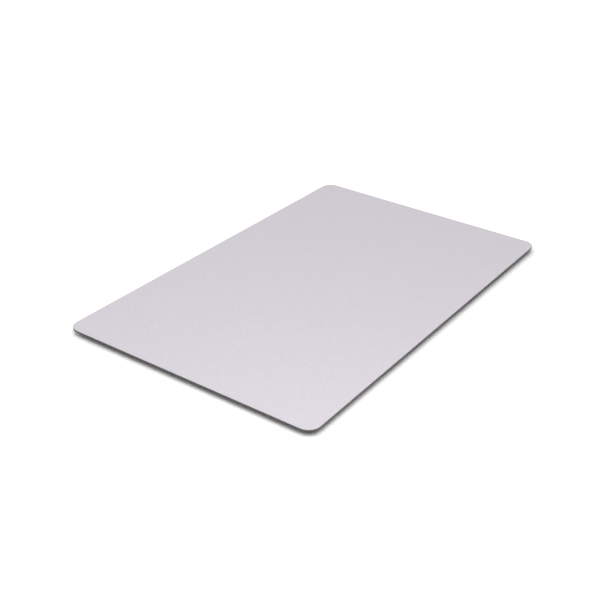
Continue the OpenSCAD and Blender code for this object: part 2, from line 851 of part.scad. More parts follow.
module touch_controller() {
    color("black")
        chip(-outer_x, 0, touch_chip, touch_chip, chip_h);
}

module main_controller() {
    color("black")
        chip(-inner_x, 0, main_chip, main_chip, chip_h);
}

module memory_chip() {
    color("black")
        chip(-inner_x, row_pitch, memory_l, memory_w, chip_h);
}

module clock_crystal() {
    color("silver")
        chip(-inner_x, -row_pitch, crystal_l, crystal_w, chip_h);
}

module force_converter() {
    color("black")
        chip(inner_x, 0, force_chip, force_chip, chip_h);
}

module coil_driver() {
    color("black")
        chip(outer_x, 0, driver_chip, driver_chip, chip_h);
}

module motion_sensor() {
    color("black")
        chip(inner_x, row_pitch, motion_chip, motion_chip, chip_h);
}

module boost_inductor() {
    color("dimgray")
        chip(outer_x, -row_pitch, inductor_w, inductor_w, chip_h);
}

module storage_capacitors() {
    color("goldenrod")
        for (y = [-1, 1])
            chip(outer_x, row_pitch + y * (storage_w / 2 + small_gap), storage_l, storage_w, chip_h);
}

// Small two-ended part hanging from the board, with soldered caps a little wider than its body.
module small_part(h) {
    step = small_cap_step;
    translate([-small_l / 2, -small_w / 2 + step, board_z - h + step])
        cube([small_l, small_w - 2 * step, h - step]);
    for (end = [-small_l / 2, small_l / 2 - small_cap_l])
        translate([end, -small_w / 2, board_z - h])
            cube([small_cap_l, small_w, h]);
}

// Rows of small parts on the two sides of a chip that face along X.
module side_rows_of_parts(x, y, chip_w, count, h) {
    for (side = [-1, 1], i = [0 : count - 1])
        translate([
            x + side * (chip_w / 2 + small_gap + small_l / 2), y + (i - (count - 1) / 2) * small_pitch, 0])
            small_part(h);
}

// Rows of small parts on the two sides of a chip that face along Y.
module end_rows_of_parts(x, y, chip_w, count, h) {
    for (side = [-1, 1], i = [0 : count - 1])
        translate([
            x + (i - (count - 1) / 2) * small_pitch, y + side * (chip_w / 2 + small_gap + small_l / 2), 0])
            rotate([0, 0, 90])
                small_part(h);
}

module small_capacitors() {
    color("tan") {
        side_rows_of_parts(-outer_x, 0, touch_chip, 5, capacitor_h);
        side_rows_of_parts(-inner_x, 0, main_chip, 4, capacitor_h);
        side_rows_of_parts(inner_x, 0, force_chip, 3, capacitor_h);
        side_rows_of_parts(outer_x, 0, driver_chip, 3, capacitor_h);
        side_rows_of_parts(inner_x, row_pitch, motion_chip, 1, capacitor_h);
        side_rows_of_parts(-inner_x, -row_pitch, crystal_l, 1, capacitor_h);
    }
}

module small_resistors() {
    color("darkslategray") {
        end_rows_of_parts(-outer_x, 0, touch_chip, 4, resistor_h);
        end_rows_of_parts(-inner_x, 0, main_chip, 4, resistor_h);
        end_rows_of_parts(inner_x, 0, force_chip, 2, resistor_h);
        end_rows_of_parts(outer_x, 0, driver_chip, 2, resistor_h);
    }
}

// Places its children under the board at the connector, with +Z turned down.
module at_connector() {
    translate([0, conn_y, board_z])
        mirror([0, 0, 1])
            children();
}

module at_contacts(w) {
    for (i = [0 : contact_count - 1])
        translate([(i - (contact_count - 1) / 2) * contact_pitch - w / 2, 0, 0])
            rotate([90, 0, 90])
                linear_extrude(w)
                    children();
}

// Moulded housing with a cable slot, grooves for the contacts and cheeks that hold the latch.
module connector_housing() {
    step_y = pivot_y - pivot_r - 3 * latch_gap;
    color("ivory")
        at_connector()
            difference() {
                translate([-conn_w / 2, -conn_d / 2, 0])
                    cube([conn_w, conn_d, conn_h]);
                translate([cheek_w - conn_w / 2, conn_d / 2 - slot_d, slot_lift])
                    cube([conn_w - 2 * cheek_w, slot_d + cut, slot_h]);
                translate([cheek_w - conn_w / 2, step_y, latch_lift - latch_gap])
                    cube([conn_w - 2 * cheek_w, conn_d, conn_h]);
                for (side = [0, 1])
                    mirror([side, 0, 0])
                        translate([latch_w / 2, pivot_y, pivot_lift])
                            rotate([0, 90, 0])
                                cylinder(r = pivot_r + latch_gap, h = cheek_w / 2 + latch_gap);
                at_contacts(contact_w + 2 * groove_gap)
                    translate([-conn_d / 2 - cut, -cut])
                        square([conn_d - contact_setback + groove_gap + cut, slot_lift + cut]);
            }
}

// Formed strip contacts: a soldered tail behind the housing and a beam along the slot.
module connector_contacts() {
    back = -conn_d / 2;
    beam_z = slot_lift - contact_t;
    strip = [
        [back - contact_tail, 0], [back + contact_root, 0], [back + contact_root + contact_step, beam_z],
        [conn_d / 2 - contact_setback, beam_z]];
    color("gold")
        at_connector()
            at_contacts(contact_w)
                polygon(concat(strip, [for (i = [3:-1:0]) strip[i] + [0, contact_t]]));
}

// Steel anchors soldered to the board at both ends of the housing.
module connector_anchors() {
    color("silver")
        at_connector()
            for (side = [0, 1])
                mirror([side, 0, 0])
                    translate([conn_w / 2, anchor_w / 2, 0])
                        rotate([90, 0, 0])
                            linear_extrude(anchor_w)
                                union() {
                                    square([anchor_w, anchor_t]);
                                    square([anchor_t, anchor_h]);
                                }
}

// Flip latch: a flat bar on two pivot pins that presses the cable onto the contacts.
module connector_latch() {
    color("saddlebrown")
        at_connector() {
            translate([-latch_w / 2, pivot_y, pivot_lift])
                rotate([90, 0, 90])
                    linear_extrude(latch_w)
                        union() {
                            circle(latch_t / 2);
                            translate([0, -latch_t / 2])
                                square([latch_l, latch_t]);
                        }
            for (side = [0, 1])
                mirror([side, 0, 0])
                    translate([latch_w / 2 - latch_t, pivot_y, pivot_lift])
                        rotate([0, 90, 0])
                            cylinder(r = pivot_r, h = cheek_w / 2 + latch_t);
        }
}

base_tray();
mounting_nuts();
stop_pads();
flexure_rivets();
flexure(-1, -1);  // flexure_front_left
flexure(1, -1);  // flexure_front_right
flexure(-1, 1);  // flexure_rear_left
flexure(1, 1);  // flexure_rear_right
strain_gauge(-1, -1);  // strain_gauge_front_left
strain_gauge(1, -1);  // strain_gauge_front_right
strain_gauge(-1, 1);  // strain_gauge_rear_left
strain_gauge(1, 1);  // strain_gauge_rear_right
magnet_core();
core_screws();
coil(0);  // coil_far_left
coil(1);  // coil_mid_left
coil(2);  // coil_mid_right
coil(3);  // coil_far_right
coil_ribbon();
gel_pad(-1, -1);  // gel_pad_front_left
gel_pad(1, -1);  // gel_pad_front_right
gel_pad(-1, 1);  // gel_pad_rear_left
gel_pad(1, 1);  // gel_pad_rear_right
cover_glass();
glass_adhesive();
sensor_board();
stiffener_plate();
armature();
armature_rivets();
touch_controller();
main_controller();
memory_chip();
clock_crystal();
force_converter();
coil_driver();
motion_sensor();
boost_inductor();
storage_capacitors();
small_capacitors();
small_resistors();
connector_housing();
connector_contacts();
connector_anchors();
connector_latch();
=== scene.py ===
# Trackpad module of a notebook, dressed in the order in which it is put together. Lengths are in metres.
import math
import random

import bmesh
import bpy
from mathutils import Matrix, Vector
from mathutils.bvhtree import BVHTree


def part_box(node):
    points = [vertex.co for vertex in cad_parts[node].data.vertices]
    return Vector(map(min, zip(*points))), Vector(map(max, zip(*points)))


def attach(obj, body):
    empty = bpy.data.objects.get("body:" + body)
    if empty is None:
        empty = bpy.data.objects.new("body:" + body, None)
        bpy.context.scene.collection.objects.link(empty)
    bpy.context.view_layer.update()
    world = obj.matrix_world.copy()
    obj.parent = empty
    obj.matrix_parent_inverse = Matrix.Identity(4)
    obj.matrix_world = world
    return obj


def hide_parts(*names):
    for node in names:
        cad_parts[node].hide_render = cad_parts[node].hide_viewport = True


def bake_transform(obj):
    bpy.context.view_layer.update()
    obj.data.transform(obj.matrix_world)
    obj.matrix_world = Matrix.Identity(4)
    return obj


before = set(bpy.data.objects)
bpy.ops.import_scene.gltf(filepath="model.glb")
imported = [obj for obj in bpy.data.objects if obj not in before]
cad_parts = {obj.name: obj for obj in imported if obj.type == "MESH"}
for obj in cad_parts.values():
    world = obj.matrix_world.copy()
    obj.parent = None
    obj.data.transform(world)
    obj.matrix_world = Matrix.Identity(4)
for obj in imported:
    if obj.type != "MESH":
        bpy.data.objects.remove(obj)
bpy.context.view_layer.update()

# Base tray
# Rolled stainless sheet, punched and folded in a press tool, with a short lip on each of its four sides.
# It carries the nuts, the stops, the flexures and the magnet, and the module stands on its flat underside.
mm = 0.001
tray_colour = (0.54, 0.54, 0.55)
tray_roughness = 0.36
slope_limit = 0.5
along_x = (0.02, 1, 1)
roll_line = 0.2 * mm
roll_depth = 0.004 * mm
roll_blotch = 14 * mm


class Wire:
    """An output socket in a node tree. Operators on wires add Math nodes to that tree."""

    def __init__(self, tree, socket):
        self.tree = tree
        self.socket = socket

    def plug(self, socket, value):
        """Links a wire to an input socket, or sets a plain number or colour on it."""
        if isinstance(value, Wire):
            self.tree.links.new(value.socket, socket)
        elif socket.type == "RGBA":
            socket.default_value = (*value, 1)
        else:
            socket.default_value = value

    def add(self, kind, settings, sockets, output=0):
        """Adds a node, with its settings and what goes into its sockets, and returns one of its outputs."""
        node = self.tree.nodes.new(kind)
        for name, value in settings.items():
            setattr(node, name, value)
        for name, value in sockets.items():
            self.plug(node.inputs[name], value)
        return Wire(self.tree, node.outputs[output])

    def math(self, operation, first, second):
        return self.add("ShaderNodeMath", {"operation": operation}, {0: first, 1: second})

    def __add__(self, other):
        return self.math("ADD", self, other)

    def __sub__(self, other):
        return self.math("SUBTRACT", self, other)

    def __rsub__(self, other):
        return self.math("SUBTRACT", other, self)

    def __mul__(self, other):
        return self.math("MULTIPLY", self, other)

    def __lt__(self, other):
        return self.math("LESS_THAN", self, other)

    def __gt__(self, other):
        return self.math("GREATER_THAN", self, other)

    def __abs__(self):
        return self.math("ABSOLUTE", self, 0)

    __radd__ = __add__
    __rmul__ = __mul__


def new_finish(name):
    """A material, and the wire of the module's own coordinates in it."""
    finish = bpy.data.materials.new(name)
    finish.use_nodes = True
    tree = finish.node_tree
    return finish, Wire(tree, tree.nodes.new("ShaderNodeTexCoord").outputs["Object"])


def set_shader(finish, place, sockets):
    """Links or sets sockets of the shader that a finish starts with."""
    shader = finish.node_tree.nodes["Principled BSDF"]
    for name, value in sockets.items():
        place.plug(shader.inputs[name], value)


def axis(place, name):
    return place.add("ShaderNodeSeparateXYZ", {}, {0: place}, name)


def scaled(place, shares):
    return place.add("ShaderNodeVectorMath", {"operation": "MULTIPLY"}, {0: place, 1: shares})


def speckle(place, size, stretch=(1, 1, 1), detail=2):
    """Noise from 0 to 1, in grains of about that size."""
    grains = scaled(place, [share / size for share in stretch])
    return place.add("ShaderNodeTexNoise", {}, {"Vector": grains, "Scale": 1, "Detail": detail})


def mix(share, low, high):
    return share.add("ShaderNodeMix", {"data_type": "RGBA"}, {0: share, 6: low, 7: high}, 2)


def tint(colour, share):
    return [part * share for part in colour]


def shade(share, colour, darkest, palest):
    """A colour that goes from its darkest to its palest tint."""
    return mix(share, tint(colour, darkest), tint(colour, palest))


def bump(height, depth):
    return height.add("ShaderNodeBump", {}, {"Height": height, "Distance": depth})


def facing_up(place):
    """1 on faces that look straight up, 0 on upright ones and -1 on those that look down."""
    return axis(place.add("ShaderNodeNewGeometry", {}, {}, "True Normal"), "Z")


def upright(place):
    """1 on faces that stand upright, such as cut edges, and 0 on flat ones."""
    return abs(facing_up(place)) < slope_limit


def sheet_steel(name, colour, roughness, lines):
    """Rolled sheet: fine lines along the rolling direction, faint blotches and paler sheared edges."""
    finish, place = new_finish(name)
    streak = speckle(place, roll_line, lines)
    blotch = speckle(place, roll_blotch)
    sheared = upright(place)
    face = shade(0.5 * streak + 0.5 * blotch, colour, 0.75, 1.2)
    set_shader(finish, place, {
        "Base Color": mix(sheared, face, tint(colour, 1.1)),
        "Metallic": 1,
        "Roughness": roughness + 0.3 * (streak - 0.5) + 0.1 * sheared,
        "Normal": bump(streak, roll_depth)})
    return finish


def dress(finish, *nodes):
    """Gives a finish to solids that are shown as they are."""
    for node in nodes:
        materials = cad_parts[node].data.materials
        materials.clear()
        materials.append(finish)


dress(sheet_steel("tray_steel", tray_colour, tray_roughness, along_x), "base_tray")

# Mounting nuts
# Ten flanged clinch nuts, turned from brass and pressed into holes in the tray. The host's M1.6 screws
# come up through them from below, so each has a cut thread between two countersunk mouths.
brass_colour = (0.72, 0.56, 0.28)
brass_roughness = 0.3
nut_bore_r = 0.65 * mm
nut_mouth_r = 0.86 * mm
nut_shank_r = 1.3 * mm
nut_flange_z = 0.4 * mm
nut_chamfer = 0.08 * mm
thread_pitch = 0.35 * mm
thread_depth = 0.14 * mm
thread_rows = 20
nut_sides = 36
plating_grain = 0.15 * mm
plating_patch = 2 * mm
plating_depth = 0.003 * mm
weld = 0.0001 * mm
sharp_edge = math.radians(35)


def plated(name, colour, roughness):
    """Small metal part: a fine grain, a little dulled in patches."""
    finish, place = new_finish(name)
    fine = speckle(place, plating_grain)
    dulled = speckle(place, plating_patch)
    set_shader(finish, place, {
        "Base Color": shade(0.4 * fine + 0.6 * dulled, colour, 0.72, 1.2),
        "Metallic": 1,
        "Roughness": roughness + 0.25 * (dulled - 0.5),
        "Normal": bump(fine, plating_depth)})
    return finish


def welded_copy(node):
    """The faces of a node's solids, with the corners that they share joined up."""
    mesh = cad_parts[node].data
    bm = bmesh.new()
    verts = [bm.verts.new(vert.co) for vert in mesh.vertices]
    for face in mesh.polygons:
        bm.faces.new([verts[i] for i in face.vertices])
    bmesh.ops.remove_doubles(bm, verts=bm.verts, dist=weld)
    return bm


def solids(node):
    """Lowest and highest corner of each separate solid in a node."""
    bm = welded_copy(node)
    boxes = []
    for first in bm.verts:
        if first.tag:
            continue
        first.tag = True
        island = [first]
        for vert in island:
            for edge in vert.link_edges:
                other = edge.other_vert(vert)
                if not other.tag:
                    other.tag = True
                    island.append(other)
        low = Vector([min(vert.co[i] for vert in island) for i in range(3)])
        high = Vector([max(vert.co[i] for vert in island) for i in range(3)])
        boxes.append((low, high))
    bm.free()
    return boxes


def underside(low, high):
    """Middle of a box's underside."""
    return Vector(((low.x + high.x) / 2, (low.y + high.y) / 2, low.z))


def skin(bm, rows, capped=False):
    """Faces from each closed row of corners to the next, and over the first and last row if it is capped."""
    for row, following in zip(rows, rows[1:]):
        for j in range(len(row)):
            k = (j + 1) % len(row)
            if row[j].co != following[j].co or row[k].co != following[k].co:
                bm.faces.new((row[j], row[k], following[k], following[j]))
    if capped:
        bm.faces.new(rows[0])
        bm.faces.new(rows[-1])


def lathe(bm, foot, outlines):
    """A round body on foot, from one closed outline of radii and heights for each of its sides."""
    rings = []
    for i, outline in enumerate(outlines):
        angle = math.tau * i / len(outlines)
        turn = Vector((math.cos(angle), math.sin(angle), 0))
        rings.append([bm.verts.new(foot + turn * r + Vector((0, 0, h))) for r, h in outline])
    skin(bm, rings + rings[:1])


def show(name, bm, finishes):
    """The mesh as an object in the scene."""
    mesh = bpy.data.meshes.new(name)
    bm.to_mesh(mesh)
    bm.free()
    for finish in finishes:
        mesh.materials.append(finish)
    thing = bpy.data.objects.new(name, mesh)
    bpy.context.scene.collection.objects.link(thing)
    return thing


def make_piece(name, bm, *finishes):
    """The mesh as a piece of the module, closed up and smooth between its sharp edges."""
    bmesh.ops.remove_doubles(bm, verts=bm.verts, dist=weld)
    bmesh.ops.recalc_face_normals(bm, faces=bm.faces)
    piece = show(name, bm, finishes)
    piece.data.shade_smooth()
    piece.data.set_sharp_from_angle(angle=sharp_edge)
    return piece


def fasten(piece, body, slot, *nodes):
    """Makes a piece ride on a body, and stand for the plain solids that are named."""
    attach(piece, body)
    if nodes:
        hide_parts(*nodes)


def nut_outline(turn, height, flange_r):
    """A nut's bore, where the thread has climbed by that share of a turn, and then its outside."""
    bore = []
    for row in range(thread_rows + 1):
        level = nut_chamfer + (height - 2 * nut_chamfer) * row / thread_rows
        groove = abs((level / thread_pitch - turn) % 1 - 0.5) * 2
        bore.append((nut_bore_r + thread_depth * groove, level))
    return bore + [
        (nut_mouth_r, height), (flange_r - nut_chamfer, height), (flange_r, height - nut_chamfer),
        (flange_r, nut_flange_z), (nut_shank_r, nut_flange_z), (nut_shank_r, 0), (nut_mouth_r, 0)]


nuts = bmesh.new()
for low, high in solids("mounting_nuts"):
    size = high - low
    outlines = [nut_outline(i / nut_sides, size.z, size.x / 2) for i in range(nut_sides)]
    lathe(nuts, underside(low, high), outlines)
nut_brass = plated("nut_brass", brass_colour, brass_roughness)
fasten(make_piece("threaded_nuts", nuts, nut_brass), "base", "nut_brass", "mounting_nuts")

# Rubber stops
# Four moulded rubber buttons, bonded to the tray beside the flexures. The stiffener comes down on their
# rounded crowns and that ends the press.
rubber_colour = (0.035, 0.035, 0.037)
rubber_roughness = 0.75
rubber_grain = 0.08 * mm
rubber_depth = 0.004 * mm
mould_cloud = 3 * mm
stop_sides = 32
arc_steps = 6


def moulded(name, colour, roughness, grain, depth):
    """Moulded or sintered stuff: a cloudy colour and a fine matte grain."""
    finish, place = new_finish(name)
    fine = speckle(place, grain, detail=3)
    cloud = speckle(place, mould_cloud)
    set_shader(finish, place, {
        "Base Color": shade(0.5 * fine + 0.5 * cloud, colour, 0.7, 1.3),
        "Roughness": roughness + 0.2 * (fine - 0.5),
        "Normal": bump(fine, depth)})
    return finish


def quarter(centre_r, centre_h, reach_r, reach_h):
    """Points of a quarter round, from its side up to its top."""
    turns = [math.pi / 2 * i / arc_steps for i in range(arc_steps + 1)]
    return [(centre_r + reach_r * math.cos(t), centre_h + reach_h * math.sin(t)) for t in turns]


def stop_outline(radius, height):
    crown = height / 2
    return [(0, 0), (radius, 0)] + quarter(radius - crown, crown, crown, crown) + [(0, height)]


stops = bmesh.new()
for low, high in solids("stop_pads"):
    size = high - low
    lathe(stops, underside(low, high), [stop_outline(size.x / 2, size.z)] * stop_sides)
stop_rubber = moulded("stop_rubber", rubber_colour, rubber_roughness, rubber_grain, rubber_depth)
fasten(make_piece("rubber_stops", stops, stop_rubber), "base", "stop_rubber", "stop_pads")

# Flexures
# Four leaves etched from spring steel. The foot is riveted to the tray and the tongue carries a gel pad,
# so the waisted arm between them bends as the plate sinks.
spring_colour = (0.44, 0.43, 0.42)
spring_roughness = 0.3
tongue_r = 5.5 * mm
flexure_reach = 18 * mm
bend_cuts = 14
corners = ("front_left", "front_right", "rear_left", "rear_right")


def pad_centre(corner):
    return underside(*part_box("gel_pad_" + corner))


def inward(pad):
    """Unit step from a gel pad towards the middle of the tray, along the arm."""
    return Vector((-math.copysign(1, pad.x), 0, 0))


def along_arm(pad, reach):
    """The place on an arm at that distance from the centre of its gel pad."""
    return pad + inward(pad) * reach


def flex(piece, slot, node, lower, upper, start, end):
    """Bakes a piece's placement into its mesh, and hides the plain solid that it stands for."""
    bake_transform(piece)
    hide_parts(node)


spring_steel = sheet_steel("spring_steel", spring_colour, spring_roughness, along_x)
for corner in corners:
    node = "flexure_" + corner
    pad = pad_centre(corner)
    leaf = welded_copy(node)
    for i in range(bend_cuts + 1):
        cut = along_arm(pad, tongue_r + (flexure_reach - tongue_r) * i / bend_cuts)
        everything = leaf.verts[:] + leaf.edges[:] + leaf.faces[:]
        bmesh.ops.bisect_plane(leaf, geom=everything, dist=weld, plane_co=cut, plane_no=inward(pad))
    arm = make_piece("flexure_leaf_" + corner, leaf, spring_steel)
    bend_start = along_arm(pad, flexure_reach)
    flex(arm, "spring_steel", node, "base", "suspension", bend_start, along_arm(pad, tongue_r))

# Flexure rivets
# Sixteen steel rivets, four in each foot. Their heads hold the foot down, and their tails are set into
# countersinks in the tray's underside.
rivet_colour = (0.50, 0.50, 0.51)
rivet_roughness = 0.34
rivet_steel = plated("rivet_steel", rivet_colour, rivet_roughness)
dress(rivet_steel, "flexure_rivets")

# Strain gauges
# Printed films with a folded metal grid, glued to the arms. Each is in one piece with a tail that runs over
# the foot and climbs to the board, so the tail bends with the press and then with the shake.
film_colour = (0.42, 0.17, 0.03)
foil_colour = (0.55, 0.46, 0.34)
film_cloud = 1.5 * mm
foil_depth = 0.01 * mm
film_half = 1.6 * mm
film_t = 0.08 * mm
film_l = 8 * mm
film_start = 7.75 * mm
film_end = film_start + film_l
film_shoulder = 0.5 * mm
film_split = 20 * mm
tail_half = 1.2 * mm
foot_end = 30 * mm
tail_rise = 6 * mm
tail_end = 40 * mm
rise_middle = foot_end + tail_rise / 2
rise_end = foot_end + tail_rise
grid_pitch = 0.28 * mm
grid_share = 0.5
lane_pitch = 0.6 * mm
lane_share = 0.45
bend_steps = 8
across_arm = Vector((0, 1, 0))
film_pad = pad_centre("rear_right")


def lanes(across, pitch, share):
    """Parallel bands, such as conductors: 1 on the bands, which take that share of the pitch."""
    return across.math("PINGPONG", across, pitch / 2) < pitch / 2 * share


def printed_film(name, pattern):
    """Amber film with metal conductors under it where pattern(place) is 1."""
    finish, place = new_finish(name)
    metal = pattern(place)
    cloud = speckle(place, film_cloud)
    set_shader(finish, place, {
        "Base Color": mix(metal, shade(cloud, film_colour, 0.8, 1.25), foil_colour),
        "Metallic": 0.7 * metal,
        "Roughness": 0.28 + 0.15 * cloud,
        "Normal": bump(metal, foil_depth)})
    return finish


def gauge_pattern(place):
    """A fine grid on the arm and wider lanes along the tail, alike at all four corners."""
    across = abs(axis(place, "Y")) - film_pad.y
    reach = film_pad.x - abs(axis(place, "X"))
    on_grid = (reach > film_start + film_shoulder) * (reach < film_end - film_shoulder)
    inside = abs(across) < tail_half - film_shoulder / 2
    grid = lanes(across, grid_pitch, grid_share) * on_grid
    return inside * (grid + lanes(across, lane_pitch, lane_share) * (1 - on_grid))


def film_strip(name, finish, stations, across, thickness):
    """A thin strip laid through stations, each the middle of its underside and its half width."""
    strip = bmesh.new()
    up = Vector((0, 0, thickness))
    rows = []
    for middle, half in stations:
        left = middle - across * half
        right = middle + across * half
        rows.append([strip.verts.new(point) for point in (left, right, right + up, left + up)])
    skin(strip, rows, capped=True)
    return make_piece(name, strip, finish)


def ease(share):
    return share * share * (3 - 2 * share)


def climb(place_at, half, run, rise, levels):
    """Stations along a tail's run, where it goes up from one level to another over its rise."""
    stations = []
    for i in range(2 * bend_steps + 1):
        reach = run[0] + (run[1] - run[0]) * i / (2 * bend_steps)
        share = min(max((reach - rise[0]) / (rise[1] - rise[0]), 0), 1)
        place = place_at(reach)
        place.z = levels[0] + (levels[1] - levels[0]) * ease(share)
        stations.append((place, half))
    return stations


gauge_film = printed_film("gauge_film", gauge_pattern)
rise = (foot_end, rise_end)
for corner in corners:
    node = "strain_gauge_" + corner
    pad = pad_centre(corner)
    low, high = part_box(node)
    level = Vector((pad.x, pad.y, low.z))
    levels = (low.z, high.z - film_t)
    grid = []
    for i in range(bend_steps + 1):
        grid.append((along_arm(level, film_start + film_l * i / bend_steps), film_half))
    for reach in (film_end + film_shoulder, film_split):
        grid.append((along_arm(level, reach), tail_half))
    tail, soldered = [
        climb(lambda reach: along_arm(pad, reach), tail_half, run, rise, levels)
        for run in ((film_split, rise_middle), (rise_middle, tail_end))]
    for name, stations, lower, upper, bend_start, bend_end in (
            ("gauge_grid_", grid, "base", "suspension", flexure_reach, tongue_r),
            ("gauge_tail_", tail, "base", "suspension", foot_end, rise_middle),
            ("gauge_end_", soldered, "suspension", "touch_plate", rise_middle, rise_end)):
        piece = film_strip(name + corner, gauge_film, stations, across_arm, film_t)
        bend = (along_arm(pad, bend_start), along_arm(pad, bend_end))
        flex(piece, "gauge_film", node, lower, upper, *bend)

# Magnet core
# A comb of thin silicon steel sheets, stacked, bonded and laid in the tray's etched seat. Three screws hold
# its bar down, and each of its four legs carries a coil.
core_colour = (0.28, 0.28, 0.30)
core_mottle = 0.6 * mm
core_sheet = 0.09 * mm
sheet_share = 0.8
sheet_depth = 0.01 * mm
screw_colour = (0.58, 0.58, 0.59)
screw_roughness = 0.28
core_steel, place = new_finish("core_steel")
sheets = lanes(axis(place, "Z"), core_sheet, sheet_share)
mottle = speckle(place, core_mottle, detail=4)
set_shader(core_steel, place, {
    "Base Color": shade(sheets * mottle, core_colour, 0.45, 1.4),
    "Metallic": 1,
    "Roughness": 0.42 + 0.2 * mottle,
    "Normal": bump(sheets * upright(place), sheet_depth)})
dress(core_steel, "magnet_core")
dress(plated("screw_steel", screw_colour, screw_roughness), "core_screws")

# Coils
# Enamelled copper wire, wound flat in two layers round each leg. The outer layer shows, turn beside turn,
# and both ends of the wire come out towards the bar and are soldered to the ribbon there.
copper_colour = (0.66, 0.24, 0.10)
wire_r = 0.07 * mm
wire_sides = 6
wire_line = 0.14 * mm
coil_edge_r = 0.3 * mm
inner_inset = 1.2 * wire_r
opening_w = 7.64 * mm
opening_h = 0.49 * mm
opening_edge_r = wire_r / 5
lead_x = 2.6 * mm
lead_lift_share = 0.3
lead_fall_share = 0.8
inner_lead_share = 0.4
coils = ("far_left", "mid_left", "mid_right", "far_right")
ribbon_low, ribbon_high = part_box("coil_ribbon")
strip_d = 1.1 * mm
strip_t = 0.1 * mm
strip_y = ribbon_high.y - strip_d / 2
strip_top = ribbon_low.z + strip_t


def rounded_loop(width, height, radius, corner_points=4):
    """Points round a rounded rectangle, clockwise from the left end of its top."""
    points = []
    for i, (side, end) in enumerate(((1, 1), (1, -1), (-1, -1), (-1, 1))):
        for j in range(corner_points):
            turn = math.pi / 2 * (1 - i - j / (corner_points - 1))
            points.append((
                side * (width / 2 - radius) + radius * math.cos(turn),
                end * (height / 2 - radius) + radius * math.sin(turn)))
    return points[-1:] + points[:-1]


def round_wire(bm, path):
    """A wire along a path, closed at both ends."""
    across = Vector((0, 0.6, 0.8))  # any direction does that isn't along the path
    turns = [math.tau * j / wire_sides for j in range(wire_sides)]
    rings = []
    for i, point in enumerate(path):
        onward = (path[min(i + 1, len(path) - 1)] - path[max(i - 1, 0)]).normalized()
        across = (across - onward * across.dot(onward)).normalized()
        other = onward.cross(across)
        ring = [point + wire_r * (across * math.cos(t) + other * math.sin(t)) for t in turns]
        rings.append([bm.verts.new(place) for place in ring])
    skin(bm, rings, capped=True)


def sleeve(bm, centre, outer, inner, start, end):
    """A ring of that outer and inner loop, from one place along Y to another."""
    rows = []
    for loop, y in ((outer, start), (outer, end), (inner, end), (inner, start)):
        rows.append([bm.verts.new((centre.x + x, y, centre.z + z)) for x, z in loop])
    skin(bm, rows + rows[:1])


enamel, place = new_finish("copper_wire")
drawn = speckle(place, wire_line, along_x)
set_shader(enamel, place, {
    "Base Color": shade(drawn, copper_colour, 0.7, 1.3),
    "Metallic": 1,
    "Roughness": 0.2 + 0.12 * drawn,
    "Coat Weight": 0.4 + 0.3 * drawn,
    "Coat Roughness": 0.1})
for name in coils:
    low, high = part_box("coil_" + name)
    centre = (low + high) / 2
    width = high.x - low.x
    height = high.z - low.z
    edge_r = coil_edge_r - wire_r
    loop = rounded_loop(width - 2 * wire_r, height - 2 * wire_r, edge_r)
    turns = round((high.y - low.y) / (2 * wire_r)) - 1
    outer_layer = []
    for i in range(turns * len(loop) + 1):
        x, z = loop[i % len(loop)]
        y = high.y - wire_r - 2 * wire_r * i / len(loop)
        outer_layer.append(Vector((centre.x + x, y, centre.z + z)))
    outer_end = outer_layer[-1]
    lead = Vector((centre.x - lead_x, strip_y, strip_top + wire_r))
    lifted = outer_end.lerp(lead, lead_lift_share) + Vector((0, 0, wire_r))
    windings = bmesh.new()
    round_wire(windings, outer_layer + [lifted, outer_end.lerp(lead, lead_fall_share), lead])
    inner_end = Vector((centre.x + lead_x, low.y + 2 * wire_r, high.z - 3 * wire_r))
    lead = Vector((centre.x + lead_x, strip_y, strip_top + wire_r))
    round_wire(windings, [inner_end, inner_end.lerp(lead, inner_lead_share), lead])
    inner_layer = rounded_loop(width - 2 * inner_inset, height - 2 * inner_inset, edge_r)
    opening = rounded_loop(opening_w, opening_h, opening_edge_r)
    sleeve(windings, centre, inner_layer, opening, low.y + wire_r, high.y - wire_r)
    fasten(make_piece("winding_" + name, windings, enamel), "base", "copper_wire", "coil_" + name)

# Coil ribbon
# A printed film along the core's bar that joins the coils. Its tail leaves the bar, climbs to the board and
# is soldered there, so the tail bends with the press and then with the shake.
solder_colour = (0.62, 0.62, 0.60)
solder_roughness = 0.26
solder_r = 0.38 * mm
solder_h = 0.14 * mm
solder_sides = 16
ribbon_lane = 0.5 * mm
ribbon_share = 0.6
ribbon_tail_x = 5 * mm
ribbon_tail_w = 5 * mm
ribbon_rise_l = 4 * mm
ribbon_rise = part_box("magnet_core")[0].y
ribbon_middle = ribbon_rise - ribbon_rise_l / 2
ribbon_top = ribbon_rise - ribbon_rise_l
across_ribbon = Vector((1, 0, 0))
across_strip = Vector((0, 1, 0))


def ribbon_pattern(place):
    """Lanes along the strip on the bar, and lanes along the tail."""
    on_strip = axis(place, "Y") > ribbon_high.y - strip_d
    strip_lanes = lanes(axis(place, "Y"), ribbon_lane, ribbon_share)
    return on_strip * strip_lanes + (1 - on_strip) * lanes(axis(place, "X"), ribbon_lane, ribbon_share)


